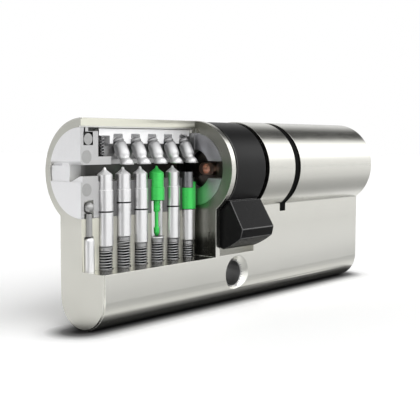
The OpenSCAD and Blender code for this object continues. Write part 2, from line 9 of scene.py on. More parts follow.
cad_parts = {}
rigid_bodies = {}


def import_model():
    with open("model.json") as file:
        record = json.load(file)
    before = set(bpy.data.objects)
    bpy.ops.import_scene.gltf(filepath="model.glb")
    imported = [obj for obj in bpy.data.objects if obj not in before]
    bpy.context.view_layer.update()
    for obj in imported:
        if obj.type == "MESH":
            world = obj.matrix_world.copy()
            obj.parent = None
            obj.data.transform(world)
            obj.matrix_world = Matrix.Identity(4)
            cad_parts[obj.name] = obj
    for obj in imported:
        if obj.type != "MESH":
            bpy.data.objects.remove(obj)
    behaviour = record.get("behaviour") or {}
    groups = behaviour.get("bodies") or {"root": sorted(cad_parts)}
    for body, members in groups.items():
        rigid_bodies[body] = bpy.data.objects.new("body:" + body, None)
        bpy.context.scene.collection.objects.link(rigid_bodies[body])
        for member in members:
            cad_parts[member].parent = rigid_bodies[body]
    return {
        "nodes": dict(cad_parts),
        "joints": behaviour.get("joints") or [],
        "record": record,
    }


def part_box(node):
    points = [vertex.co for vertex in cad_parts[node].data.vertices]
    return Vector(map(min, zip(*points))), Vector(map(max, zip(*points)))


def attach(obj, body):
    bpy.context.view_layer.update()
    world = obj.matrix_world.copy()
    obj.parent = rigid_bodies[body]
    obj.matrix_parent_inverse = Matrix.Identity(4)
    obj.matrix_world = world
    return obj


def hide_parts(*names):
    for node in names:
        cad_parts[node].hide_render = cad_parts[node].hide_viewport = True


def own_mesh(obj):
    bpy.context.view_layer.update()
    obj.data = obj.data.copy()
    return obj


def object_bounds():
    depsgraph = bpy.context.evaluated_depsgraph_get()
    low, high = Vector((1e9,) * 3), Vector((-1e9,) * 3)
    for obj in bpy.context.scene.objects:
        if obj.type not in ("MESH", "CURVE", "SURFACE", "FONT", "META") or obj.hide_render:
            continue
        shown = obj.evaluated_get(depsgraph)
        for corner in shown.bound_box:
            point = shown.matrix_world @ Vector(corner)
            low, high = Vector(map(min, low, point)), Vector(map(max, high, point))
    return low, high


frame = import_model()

MM = 0.001
scene = bpy.context.scene
cad_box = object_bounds()
BODY_OF = {n: body for body, nodes in frame["record"]["behaviour"]["bodies"].items() for n in nodes}
SLOT_OF = {s["node"]: s["material_slot"] for s in frame["record"]["subparts"]}

# ---------------------------------------------------------------- places read from the frame

rear_lo, rear_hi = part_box("rear_plug")
AXIS_Z = (rear_lo.z + rear_hi.z) / 2
FLOOR_Z = cad_box[0].z
FRONT_X = cad_box[0].x
BAR_END_GAP = 0.31 * MM
CROSS_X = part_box("side_bar")[1].x + BAR_END_GAP


# ---------------------------------------------------------------- node helpers

def nodes_of(material):
    material.use_nodes = True
    tree = material.node_tree
    tree.nodes.clear()
    return tree


def add(tree, kind, inputs=None, **settings):
    """A node with its settings and unlinked inputs set; an input given as a socket is linked."""
    node = tree.nodes.new(kind)
    for name, value in settings.items():
        setattr(node, name, value)
    for name, value in (inputs or {}).items():
        socket = node.inputs[name]
        if isinstance(value, bpy.types.NodeSocket):
            tree.links.new(value, socket)
        else:
            socket.default_value = value
    return node


def math_node(tree, operation, a, b=0.0):
    return add(tree, "ShaderNodeMath", {0: a, 1: b}, operation=operation).outputs[0]


def length_of(tree, a, b):
    """The length of a line with these two square parts."""
    squares = math_node(tree, "ADD", math_node(tree, "MULTIPLY", a, a), math_node(tree, "MULTIPLY", b, b))
    return math_node(tree, "SQRT", squares)


def parts_of(tree, vector):
    """The three parts of a vector."""
    return add(tree, "ShaderNodeSeparateXYZ", {0: vector}).outputs


def place_on_piece(tree):
    """Where on the piece the light falls, in the piece's own metres."""
    return add(tree, "ShaderNodeTexCoord").outputs["Object"]


def ranged(tree, value, low, high, out_low=0.0, out_high=1.0, smooth=False):
    node = add(tree, "ShaderNodeMapRange", {"Value": value, "From Min": low, "From Max": high,
                                            "To Min": out_low, "To Max": out_high})
    if smooth:
        node.interpolation_type = "SMOOTHSTEP"
    return node.outputs[0]


def mixed(tree, factor, a, b):
    node = add(tree, "ShaderNodeMix", data_type="RGBA")
    for index, value in ((0, factor), (6, a), (7, b)):
        if isinstance(value, bpy.types.NodeSocket):
            tree.links.new(value, node.inputs[index])
        else:
            node.inputs[index].default_value = value
    return node.outputs[2]


def multiplied(tree, a, b):
    return add(tree, "ShaderNodeVectorMath", {0: a, 1: b}, operation="MULTIPLY").outputs[0]


# ---------------------------------------------------------------- shared effects

def new_group(name, inputs, outputs):
    group = bpy.data.node_groups.new(name, "ShaderNodeTree")
    for label, kind, default in inputs:
        socket = group.interface.new_socket(label, in_out="INPUT", socket_type=kind)
        socket.default_value = default
    for label, kind in outputs:
        group.interface.new_socket(label, in_out="OUTPUT", socket_type=kind)
    return group, group.nodes.new("NodeGroupInput"), group.nodes.new("NodeGroupOutput")


def make_grain():
    """Fine tool lines: a mask from 0 to 1 and a height, stretched by the Scale vector."""
    group, given, out = new_group(
        "tool_grain",
        [("Scale", "NodeSocketVector", (1, 1, 1)), ("Detail", "NodeSocketFloat", 3.0)],
        [("Mask", "NodeSocketFloat"), ("Height", "NodeSocketFloat")])
    spread = add(group, "ShaderNodeMapping", {"Vector": place_on_piece(group),
                                              "Scale": given.outputs["Scale"]})
    lines = add(group, "ShaderNodeTexNoise", {"Vector": spread.outputs[0], "Scale": 1.0,
                                              "Detail": given.outputs["Detail"], "Roughness": 0.6})
    mask = ranged(group, lines.outputs["Fac"], 0.3, 0.7)
    group.links.new(mask, out.inputs["Mask"])
    group.links.new(lines.outputs["Fac"], out.inputs["Height"])
    return group


def make_patina():
    """Broad soft variation from handling and plating, from 0 to 1."""
    group, given, out = new_group(
        "patina", [("Size", "NodeSocketFloat", 100.0)], [("Mask", "NodeSocketFloat")])
    cloud = add(group, "ShaderNodeTexNoise", {"Vector": place_on_piece(group), "Scale": given.outputs["Size"],
                                              "Detail": 4.0, "Roughness": 0.55})
    group.links.new(ranged(group, cloud.outputs["Fac"], 0.35, 0.65), out.inputs["Mask"])
    return group


GRAIN, PATINA = make_grain(), make_patina()


def effect(tree, group, **values):
    node = add(tree, "ShaderNodeGroup", node_tree=group)
    for name, value in values.items():
        node.inputs[name].default_value = value
    return node


def shade(colour, factor):
    return tuple(c * factor for c in colour[:3]) + (1.0,)


GRAIN_DEPTH = 0.001 * MM
BUMP_STRENGTH = 0.35
PATINA_SIZE = 120.0
# How far the tool lines, and then the patina, move the roughness either way.
LINE_ROUGHNESS = 0.03
PATINA_ROUGHNESS = 0.02


def metal(name, colour, roughness, grain, variation=0.06, metallic=1.0, specular=0.5, below=(), axis=2):
    """Machined or plated metal: tool lines in its colour, roughness and height, and a soft patina.

    below holds fades of painted light and shade, each with two places on the axis and the colour that the
    metal fades to below them."""
    material = bpy.data.materials.new(name)
    tree = nodes_of(material)
    lines = effect(tree, GRAIN, Scale=grain, Detail=3.0)
    cloud = effect(tree, PATINA, Size=PATINA_SIZE)
    darker, lighter = shade(colour, 1 - variation), shade(colour, 1 + variation * 0.5)
    lined = mixed(tree, lines.outputs["Mask"], darker, lighter)
    patina_and_painted_light = mixed(tree, cloud.outputs["Mask"], shade(colour, 1 - variation * 0.6), lined)
    # The fades paint light and shade into the colour.
    for low, high, under in below:
        along = parts_of(tree, place_on_piece(tree))[axis]
        patina_and_painted_light = mixed(tree, ranged(tree, along, low, high), shade(under, 1.0), patina_and_painted_light)
    line_part = ranged(tree, lines.outputs["Mask"], 0, 1, -LINE_ROUGHNESS, LINE_ROUGHNESS)
    smoothest, roughest = roughness - PATINA_ROUGHNESS, roughness + PATINA_ROUGHNESS
    cloud_part = ranged(tree, cloud.outputs["Mask"], 0, 1, smoothest, roughest)
    rough = math_node(tree, "ADD", line_part, cloud_part)
    bump = add(tree, "ShaderNodeBump", {"Height": lines.outputs["Height"], "Strength": BUMP_STRENGTH,
                                        "Distance": GRAIN_DEPTH})
    skin = add(tree, "ShaderNodeBsdfPrincipled", {"Base Color": patina_and_painted_light, "Roughness": rough,
                                                  "Normal": bump.outputs[0], "Metallic": metallic,
                                                  "Specular IOR Level": specular})
    output = add(tree, "ShaderNodeOutputMaterial")
    tree.links.new(skin.outputs[0], output.inputs["Surface"])
    return material


# Grain scales along X, Y and Z, named for how the surface was made.
ALONG = (250, 2600, 2600)
ROUND = (700, 700, 9000)
EVEN = (1600, 1600, 1600)
MILLED = (900, 900, 900)
SOFT = (400, 400, 400)
WIRE = (2500, 2500, 2500)
GROUND_BAR = (120, 3000, 3000)

# Heights between which painted shade darkens the cutaway's walls and bores towards their floor.
FLOOR_SHADE = (6.2 * MM, 8 * MM)
# Heights between which painted shade darkens a side pin from its pale foot up to its cap.
SIDE_PIN_SHADE = (21.2 * MM, 23.4 * MM)

FINISH = {
    # Housing.
    # Painted light makes the nickel lighter down the flange, and painted shade darkens the foot.
    "housing_nickel": metal("satin_nickel", (0.64, 0.635, 0.59), 0.2, ALONG, variation=0.02,
                            below=[(AXIS_Z - 20 * MM, AXIS_Z - 11 * MM, (0.86, 0.855, 0.805)),
                                   (AXIS_Z - 21.4 * MM, AXIS_Z - 19.6 * MM, (0.6, 0.595, 0.555))]),
    # Painted shade darkens the front face below the nickel's colour, and painted light lifts its lower part.
    "housing_front": metal("satin_nickel_end", (0.52, 0.518, 0.475), 0.32, SOFT, variation=0.01,
                           below=[(AXIS_Z - 9 * MM, AXIS_Z - 3 * MM, (0.62, 0.615, 0.565))]),
    # The housing's long cut darkens with painted shade towards the end of the cutaway.
    "housing_section": metal("milled_section", (0.36, 0.36, 0.32), 0.42, MILLED, variation=0.03, axis=0,
                             below=[(CROSS_X - 5 * MM, CROSS_X - 0.5 * MM, (0.7, 0.695, 0.605))]),
    # Painted shade: the cross cut is darker than the nickel, and darker still towards the chambers' floor.
    "housing_cross_section": metal("cross_section", (0.27, 0.27, 0.24), 0.3, SOFT, variation=0.02,
                                   below=[(*FLOOR_SHADE, (0.08, 0.08, 0.07))]),
    # Painted shade on the cut faces between the pin columns.
    "housing_rib": metal("rib_section", (0.44, 0.435, 0.385), 0.42, MILLED, variation=0.03),
    # Painted shade on the floor of the cam's slot.
    "slot_floor": metal("slot_floor", (0.46, 0.455, 0.42), 0.3, ALONG, variation=0.02),
    # Plugs.
    # Painted shade on the plug's cut faces between the pin columns.
    "plug_rib": metal("plug_rib_section", (0.16, 0.16, 0.16), 0.42, MILLED, variation=0.03),
    # Painted shade on the recess walls above the keyway and in the screw hole.
    "plug_recess": metal("recess_wall", (0.42, 0.42, 0.42), 0.42, MILLED, variation=0.05),
    "plug_nickel": metal("plug_nickel", (0.8, 0.8, 0.81), 0.36, EVEN, variation=0.03),
    "plug_section": metal("plug_section", (0.52, 0.52, 0.52), 0.4, MILLED, variation=0.03),
    # Painted shade on the plug's cross cut, lighter towards its bottom.
    "plug_cross_section": metal("plug_cross_section", (0.42, 0.42, 0.44), 0.34, SOFT, variation=0.02,
                                below=[(AXIS_Z - 4 * MM, AXIS_Z - 1 * MM, (0.6, 0.6, 0.62))]),
    "bore_shade": metal("pocket_wall", (0.06, 0.06, 0.058), 0.4, SOFT, variation=0.1),
    # Painted shade deep in the keyway, lighter towards its mouth.
    "keyway_wall": metal("keyway_wall", (0.09, 0.09, 0.087), 0.4, SOFT, variation=0.1, axis=0,
                         below=[(FRONT_X + 0.2 * MM, FRONT_X + 5 * MM, (0.62, 0.62, 0.62))]),
    # Painted shade darkens the bore walls towards the chambers' floor.
    "column_wall": metal("column_wall", (0.8, 0.8, 0.77), 0.4, ROUND, variation=0.1,
                         below=[(*FLOOR_SHADE, (0.03, 0.03, 0.03))]),
    # Cam, clutch and clips.
    "cam_black": metal("black_satin", (0.01, 0.01, 0.0103), 0.36, EVEN, metallic=0.0, variation=0.15,
                       specular=0.12),
    # Painted shade: a darker, duller copy of the cam's black for its nose.
    "nose_black": metal("nose_black_painted_shade", (0.006, 0.006, 0.0062), 0.3, EVEN, metallic=0.0, variation=0.15,
                        specular=0.06),
    # Painted highlight on the cam's rounded edges.
    "cam_edge": metal("cam_edge_painted_highlight", (0.11, 0.11, 0.11), 0.28, SOFT, variation=0.2),
    "clutch_steel": metal("turned_steel", (0.2, 0.18, 0.16), 0.35, ROUND),
    "clutch_bronze": metal("bronze", (0.85, 0.6, 0.5), 0.3, ROUND),
    "clip_black": metal("phosphated_spring_steel", (0.002, 0.002, 0.002), 0.5, EVEN, metallic=0.0,
                        variation=0.15, specular=0.03),
    # Pins, bar and springs.
    "split_shade": metal("split_chamfer", (0.05, 0.05, 0.05), 0.4, SOFT, variation=0.1),
    "pin_steel": metal("bright_pin_steel", (0.84, 0.84, 0.845), 0.32, SOFT, variation=0.012),
    "pin_green": metal("green_anodised", (0.06, 0.68, 0.12), 0.3, ROUND, metallic=0.35, variation=0.08),
    "cap_dark": metal("dark_steel", (0.27, 0.275, 0.285), 0.3, ROUND),
    # Rougher than the pin steel, and a little lighter as painted light.
    "pin_tip": metal("pin_tip_satin_painted_light", (0.9, 0.9, 0.905), 0.5, ROUND, variation=0.03, metallic=0.7),
    # Painted shade: the side pins are dark towards the cap and pale towards the foot.
    "side_pin_satin": metal("side_pin_satin", (0.38, 0.38, 0.385), 0.5, ROUND, variation=0.03,
                            below=[(*SIDE_PIN_SHADE, (0.88, 0.88, 0.885))]),
    "spring_steel": metal("spring_wire", (0.42, 0.42, 0.425), 0.3, WIRE),
    "insert_steel": metal("hardened_steel", (0.4, 0.4, 0.395), 0.4, EVEN),
    "bar_steel": metal("bright_bar_steel", (0.96, 0.96, 0.965), 0.5, GROUND_BAR, variation=0.02,
                       metallic=0.6),
}


# ---------------------------------------------------------------- pieces from the frame

# Faces that meet at more than SHARP keep a sharp edge, and ones that meet at less than FLAT become one face.
SHARP = math.radians(32)
FLAT = math.radians(0.3)
# Corners nearer than this, in metres, become one.
WELD = 2e-7


def clean_copy(node, whole_faces):
    """A copy of a node's mesh with its loose triangles joined and, on request, its flat faces made whole."""
    mesh = frame["nodes"][node].data.copy()
    soup = bmesh.new()
    soup.from_mesh(mesh)
    bmesh.ops.remove_doubles(soup, verts=soup.verts, dist=WELD)
    if whole_faces:
        bmesh.ops.dissolve_limit(soup, angle_limit=FLAT, verts=soup.verts, edges=soup.edges)
    for edge in soup.edges:
        if len(edge.link_faces) == 2:
            edge.smooth = edge.calc_face_angle(0) < SHARP
    soup.to_mesh(mesh)
    soup.free()
    mesh.materials.clear()
    return mesh


def plain_mesh(obj, name):
    """Applies an object's modifiers and gives the result as a new object at the origin."""
    graph = bpy.context.evaluated_depsgraph_get()
    mesh = bpy.data.meshes.new_from_object(obj.evaluated_get(graph))
    bpy.data.objects.remove(obj)
    made = bpy.data.objects.new(name, mesh)
    scene.collection.objects.link(made)
    return made


def settle(piece, node):
    """The piece stands for the node: it rides on the node's body, and the node is hidden."""
    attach(piece, BODY_OF[node])
    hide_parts(node)
    return piece


# Distances just inside the outer surfaces of the barrel, the flange with its round foot, and the cam's hub.
BARREL_SKIN = 8.4 * MM
FLANGE_SKIN = 4.9 * MM
HUB_SKIN = 7.6 * MM
# The height about which the foot is round, and the one below which it counts as foot.
FOOT_CENTRE_Z = -0.65 * MM
FOOT_TOP_Z = -0.6 * MM


def on_skin(node, place):
    """Whether a point lies on the outside of the piece, where its edges are rounded."""
    from_axis = math.hypot(place.y, place.z - AXIS_Z)
    if node == "housing":
        on_foot = place.z < FOOT_TOP_Z and math.hypot(place.y, place.z - FOOT_CENTRE_Z) > FLANGE_SKIN
        return from_axis > BARREL_SKIN or abs(place.y) > FLANGE_SKIN or on_foot
    if node == "cam":
        return from_axis > HUB_SKIN
    return True


def machined(node, edge):
    """The node with its outer edges rounded by a small radius, where it has one, in its slot's finish."""
    rough = bpy.data.objects.new(node + "_blank", clean_copy(node, edge > 0))
    scene.collection.objects.link(rough)
    mesh = rough.data
    mesh.materials.append(FINISH[SLOT_OF[node]])
    if edge > 0:
        weight = mesh.attributes.new("bevel_weight_edge", "FLOAT", "EDGE")
        for seam in mesh.edges:
            outer = all(on_skin(node, mesh.vertices[v].co) for v in seam.vertices)
            if seam.use_edge_sharp and outer:
                weight.data[seam.index].value = 1.0
                seam.use_edge_sharp = False
        bevel = rough.modifiers.new("edge", "BEVEL")
        bevel.width, bevel.segments, bevel.limit_method = edge, 2, "WEIGHT"
        bevel.use_clamp_overlap = False
        # The cam's rounded edges take a painted highlight.
        if node == "cam":
            mesh.materials.append(FINISH["cam_edge"])
            bevel.material = 1
    for face in mesh.polygons:
        face.use_smooth = True
    even = rough.modifiers.new("normals", "WEIGHTED_NORMAL")
    even.mode, even.keep_sharp = "FACE_AREA_WITH_ANGLE", True
    return settle(plain_mesh(rough, node + "_finished"), node)


def face_finish(piece, finish, chosen, over=None):
    """Gives the faces for which chosen(centre, normal) holds another finish.

    over, where given, is the one material slot whose faces may change."""
    piece.data.materials.append(FINISH[finish])
    index = len(piece.data.materials) - 1
    for face in piece.data.polygons:
        if over in (None, face.material_index) and chosen(face.center, face.normal):
            face.material_index = index


# Edge radii in millimetres. All other pieces keep sharp edges.
EDGE = {"housing": 0.06, "cam": 0.12, "rear_clip": 0.05, "front_clip": 0.05}

for node in frame["nodes"]:
    if "spring" not in node and not node.startswith("side_pin"):
        machined(node, EDGE.get(node, 0) * MM)

CAM = bpy.data.objects["cam_finished"]
HOUSING = bpy.data.objects["housing_finished"]
FRONT_PLUG = bpy.data.objects["front_plug_finished"]
CUT_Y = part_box("upper_ball")[0].y
FIRST_COLUMN_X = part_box("driver_1")[1].x - 0.2 * MM
POCKET_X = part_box("bar_spring_front")[1].x + 0.3 * MM
PLUG_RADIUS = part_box("front_plug")[1].z - AXIS_Z
HUB_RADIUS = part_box("cam")[1].z - AXIS_Z
SLOT_FLOOR_Z = 3.7 * MM
KEYWAY_HALF = 1.8 * MM
SCREW_HOLE_RADIUS = 2.4 * MM
SCREW_HOLE_HALF = 4.2 * MM
BORE_TOP_Z = AXIS_Z + 7.5 * MM
RECESS_Z = AXIS_Z + 1.3 * MM
RIB_TOP_Z = AXIS_Z + 1 * MM
# The part of a normal that counts as square to an axis, and the slack on the place of a face.
SQUARE = 0.98
LONG_CUT_SLACK = 0.02 * MM
SLACK = 0.05 * MM


def on_long_cut(centre, normal):
    return normal.y < -SQUARE and abs(centre.y - CUT_Y) < LONG_CUT_SLACK and centre.x < CROSS_X


def on_cross_cut(centre, normal):
    return normal.x < -SQUARE and abs(centre.x - CROSS_X) < SLACK


def on_end_face(centre, normal):
    return normal.x < -SQUARE and centre.x < FRONT_X + 0.3 * MM


def on_nose(centre, normal):
    return math.hypot(centre.y, centre.z - AXIS_Z) > HUB_RADIUS + 0.2 * MM and abs(normal.x) < 0.9


def on_slot_floor(centre, normal):
    return normal.z > 0.9 and CROSS_X < centre.x < -CROSS_X and centre.z < SLOT_FLOOR_Z + 0.2 * MM


def behind_cut(centre):
    """Whether a face lies behind the long cut, between the front face and the end of the cutaway."""
    return FRONT_X + 0.5 * MM < centre.x < CROSS_X - SLACK and centre.y > CUT_Y + SLACK


def in_housing_bore(centre, normal):
    return behind_cut(centre) and centre.y < 2 * MM and centre.z < BORE_TOP_Z


def in_plug_bore(centre, normal):
    return behind_cut(centre) and math.hypot(centre.y, centre.z - AXIS_Z) < PLUG_RADIUS - 0.1 * MM


def in_keyway(centre, normal):
    return in_plug_bore(centre, normal) and abs(centre.z - AXIS_Z) < KEYWAY_HALF and abs(normal.z) < 0.5


def in_upper_recess(centre, normal):
    return in_plug_bore(centre, normal) and centre.z > RECESS_Z


def in_spring_pocket(centre, normal):
    return in_upper_recess(centre, normal) and centre.x < POCKET_X


def in_screw_hole(centre, normal):
    return math.hypot(centre.x, centre.z) < SCREW_HOLE_RADIUS and abs(centre.y) < SCREW_HOLE_HALF


def between_columns(centre, normal):
    return on_long_cut(centre, normal) and centre.x > FIRST_COLUMN_X and centre.z < RIB_TOP_Z


# A later finish goes over an earlier one.
face_finish(CAM, "nose_black", on_nose, 0)
face_finish(HOUSING, "slot_floor", on_slot_floor)
face_finish(HOUSING, "column_wall", in_housing_bore)
face_finish(HOUSING, "plug_recess", in_screw_hole)
face_finish(FRONT_PLUG, "column_wall", in_plug_bore)
face_finish(FRONT_PLUG, "keyway_wall", in_keyway)
face_finish(FRONT_PLUG, "plug_recess", in_upper_recess)
face_finish(FRONT_PLUG, "bore_shade", in_spring_pocket)
face_finish(HOUSING, "housing_section", on_long_cut)
face_finish(HOUSING, "housing_cross_section", on_cross_cut)
face_finish(HOUSING, "housing_front", on_end_face)
face_finish(FRONT_PLUG, "plug_section", on_long_cut)
face_finish(HOUSING, "housing_rib", between_columns)
face_finish(FRONT_PLUG, "plug_rib", between_columns)
face_finish(FRONT_PLUG, "plug_cross_section", on_cross_cut)


# The part of a normal from which a face looks up or down.
TILT = 0.2


def faces_up(centre, normal):
    return normal.z > TILT


def faces_down(centre, normal):
    return normal.z < -TILT


COLUMNS = range(1, 7)
GREEN_KEY_PINS = (4, 6)

# The key pins' tips take a little painted light, and the faces at the split take painted shade.
for number in COLUMNS:
    key_pin = bpy.data.objects["key_pin_%d_finished" % number]
    if number not in GREEN_KEY_PINS:
        face_finish(key_pin, "pin_tip", faces_up)
    face_finish(key_pin, "split_shade", faces_down)
    face_finish(bpy.data.objects["driver_%d_finished" % number], "split_shade", faces_up)


# ---------------------------------------------------------------- side pins

# Radius and height in millimetres along the pin's own axis, from below its foot to its cap.
SIDE_PIN = [(0, -1), (1.08, -1), (1.08, 0.1), (1.04, 0.35), (0.93, 0.62), (0.79, 0.86), (0.75, 1.0),
            (0.79, 1.14), (0.93, 1.34), (1.03, 1.56), (1.08, 1.85), (1.08, 3.35), (1.06, 3.56), (0.99, 3.72),
            (0.84, 3.8), (0.74, 3.83), (0.74, 3.93), (0.84, 3.97), (0.93, 4.03), (0.95, 4.12), (0.93, 4.3),
            (0.81, 4.5), (0.56, 4.66), (0.28, 4.73), (0, 4.75)]
# Where the foot stands across the plug, and the sides of its round.
SIDE_PIN_FOOT_Y = -1.05 * MM
SIDE_PIN_STEPS = 48


def turned(profile, steps):
    """A closed solid of revolution about Z from (radius, height) pairs that start and end on the axis."""
    solid = bmesh.new()
    rings = []
    for radius, height in profile:
        if radius == 0:
            rings.append([solid.verts.new((0, 0, height * MM))])
            continue
        ring = []
        for k in range(steps):
            turn = 2 * math.pi * k / steps
            across, aside = radius * MM * math.cos(turn), radius * MM * math.sin(turn)
            ring.append(solid.verts.new((across, aside, height * MM)))
        rings.append(ring)
    for low, high in zip(rings, rings[1:]):
        for k in range(steps):
            after = (k + 1) % steps
            if len(low) == 1:
                solid.faces.new((low[0], high[after], high[k]))
            elif len(high) == 1:
                solid.faces.new((low[k], low[after], high[0]))
            else:
                solid.faces.new((low[k], low[after], high[after], high[k]))
    return solid


def side_pin(number):
    """A leaning pin, its foot cut level with the keyway's roof."""
    node = "side_pin_%d" % number
    lo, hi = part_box(node)
    slide = next(j for j in frame["joints"] if j["name"] == node + "_slide")
    lean = math.atan2(slide["axis"][1], slide["axis"][2])
    solid = turned(SIDE_PIN, SIDE_PIN_STEPS)
    foot = Matrix.Translation(((lo.x + hi.x) / 2, SIDE_PIN_FOOT_Y, lo.z))
    solid.transform(foot @ Matrix.Rotation(-lean, 4, "X"))
    everything = solid.verts[:] + solid.edges[:] + solid.faces[:]
    cut = bmesh.ops.bisect_plane(solid, geom=everything, plane_co=(0, 0, lo.z), plane_no=(0, 0, -1),
                                 clear_outer=True)
    rim = [e for e in cut["geom_cut"] if isinstance(e, bmesh.types.BMEdge)]
    bmesh.ops.holes_fill(solid, edges=rim, sides=0)
    bmesh.ops.recalc_face_normals(solid, faces=solid.faces)
    mesh = bpy.data.meshes.new(node + "_turned")
    for face in solid.faces:
        face.smooth = abs(face.normal.z) < 0.999
    solid.to_mesh(mesh)
    solid.free()
    # The side pin's finish paints shade towards its cap.
    mesh.materials.append(FINISH["side_pin_satin"])
    piece = bpy.data.objects.new(node + "_turned", mesh)
    scene.collection.objects.link(piece)
    return settle(piece, node)


for number in range(1, 6):
    side_pin(number)


# ---------------------------------------------------------------- springs

STEPS_PER_TURN = 28.0
WIRE_SIDES = 8


def spring_tree():
    """A round-wire coil: closed turns at each end, an even pitch between, and named sizes."""
    tree = bpy.data.node_groups.new("wound_spring", "GeometryNodeTree")
    tree.interface.new_socket("Geometry", in_out="OUTPUT", socket_type="NodeSocketGeometry")
    for label in ("Coil Radius", "Wire Radius", "Low End", "High End", "Turns", "Closed Low", "Closed High",
                  "Centre X", "Centre Y"):
        tree.interface.new_socket(label, in_out="INPUT", socket_type="NodeSocketFloat")
    tree.interface.new_socket("Finish", in_out="INPUT", socket_type="NodeSocketMaterial")
    given = tree.nodes.new("NodeGroupInput").outputs
    out = tree.nodes.new("NodeGroupOutput")

    def m(operation, a, b=0.0):
        return math_node(tree, operation, a, b)

    steps = m("MULTIPLY", given["Turns"], STEPS_PER_TURN)
    line = add(tree, "GeometryNodeMeshLine", {"Count": steps})
    index = add(tree, "GeometryNodeInputIndex").outputs[0]
    turn = m("DIVIDE", index, STEPS_PER_TURN)
    wire = m("MULTIPLY", given["Wire Radius"], 2.0)
    open_turns = m("SUBTRACT", m("SUBTRACT", given["Turns"], given["Closed Low"]), given["Closed High"])
    shut = m("MULTIPLY", m("ADD", given["Closed Low"], given["Closed High"]), wire)
    room = m("SUBTRACT", m("SUBTRACT", m("SUBTRACT", given["High End"], given["Low End"]), wire), shut)
    pitch = m("DIVIDE", room, open_turns)
    low = m("MULTIPLY", m("MINIMUM", turn, given["Closed Low"]), wire)
    past_low = m("MAXIMUM", m("SUBTRACT", turn, given["Closed Low"]), 0.0)
    middle = m("MULTIPLY", m("MINIMUM", past_low, open_turns), pitch)
    past_open = m("MAXIMUM", m("SUBTRACT", turn, m("ADD", given["Closed Low"], open_turns)), 0.0)
    high = m("MULTIPLY", past_open, wire)
    base = m("ADD", given["Low End"], given["Wire Radius"])
    z = m("ADD", base, m("ADD", low, m("ADD", middle, high)))
    angle = m("MULTIPLY", turn, 2 * math.pi)
    reach = m("SUBTRACT", given["Coil Radius"], given["Wire Radius"])
    x = m("ADD", given["Centre X"], m("MULTIPLY", reach, m("COSINE", angle)))
    y = m("ADD", given["Centre Y"], m("MULTIPLY", reach, m("SINE", angle)))
    place = add(tree, "ShaderNodeCombineXYZ", {0: x, 1: y, 2: z}).outputs[0]
    path = add(tree, "GeometryNodeSetPosition", {"Geometry": line.outputs[0], "Position": place}).outputs[0]
    curve = add(tree, "GeometryNodeMeshToCurve", {"Mesh": path}).outputs[0]
    ring = add(tree, "GeometryNodeCurvePrimitiveCircle", {"Resolution": WIRE_SIDES,
                                                          "Radius": given["Wire Radius"]})
    swept = add(tree, "GeometryNodeCurveToMesh", {"Curve": curve, "Profile Curve": ring.outputs[0],
                                                  "Fill Caps": True}).outputs[0]
    smooth = add(tree, "GeometryNodeSetShadeSmooth", {"Geometry": swept}).outputs[0]
    real = add(tree, "GeometryNodeRealizeInstances", {"Geometry": smooth}).outputs[0]
    dressed = add(tree, "GeometryNodeSetMaterial", {"Geometry": real, "Material": given["Finish"]}).outputs[0]
    tree.links.new(dressed, out.inputs[0])
    return tree


SPRING_TREE = spring_tree()


def wound(name, **sizes):
    """One spring from the tree, as a plain mesh at the origin."""
    shell = bpy.data.objects.new(name + "_blank", bpy.data.meshes.new(name + "_blank"))
    scene.collection.objects.link(shell)
    modifier = shell.modifiers.new("coil", "NODES")
    modifier.node_group = SPRING_TREE
    identifiers = {s.name: s.identifier for s in SPRING_TREE.interface.items_tree if s.in_out == "INPUT"}
    for label, value in sizes.items():
        modifier[identifiers[label.replace("_", " ")]] = value
    modifier[identifiers["Finish"]] = FINISH["spring_steel"]
    return plain_mesh(shell, name)


def wound_for(node, wire, pitch, closed_low, closed_high):
    """A spring that fills a spring node's box, with about the pitch given."""
    lo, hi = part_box(node)
    room = hi.z - lo.z - wire * (1 + closed_low + closed_high)
    turns = closed_low + closed_high + max(2, round(room / pitch))
    return wound(node + "_wound", Coil_Radius=(hi.x - lo.x) / 2, Wire_Radius=wire / 2, Low_End=lo.z,
                 High_End=hi.z, Turns=float(turns), Closed_Low=float(closed_low),
                 Closed_High=float(closed_high), Centre_X=(lo.x + hi.x) / 2, Centre_Y=(lo.y + hi.y) / 2)


def squashed_by(piece, node):
    """Gives the spring its own mesh where a joint in the record deforms it."""
    for joint in frame["joints"]:
        for spring in joint.get("deforming_nodes", []):
            if spring["node"] == node:
                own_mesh(piece)


DRIVER_SPRING = {"wire": 0.19 * MM, "pitch": 0.43 * MM, "closed_low": 1, "closed_high": 3}
BAR_SPRING = {"wire": 0.2 * MM, "pitch": 0.5 * MM, "closed_low": 1, "closed_high": 1}

for number in COLUMNS:
    node = "spring_%d" % number
    squashed_by(settle(wound_for(node, **DRIVER_SPRING), node), node)
for node in ("bar_spring_front", "bar_spring_rear"):
    squashed_by(settle(wound_for(node, **BAR_SPRING), node), node)


REAR_COIL_RADIUS = 1.22 * MM
REAR_WIRE_RADIUS = 0.1 * MM
REAR_TURNS = 7.0


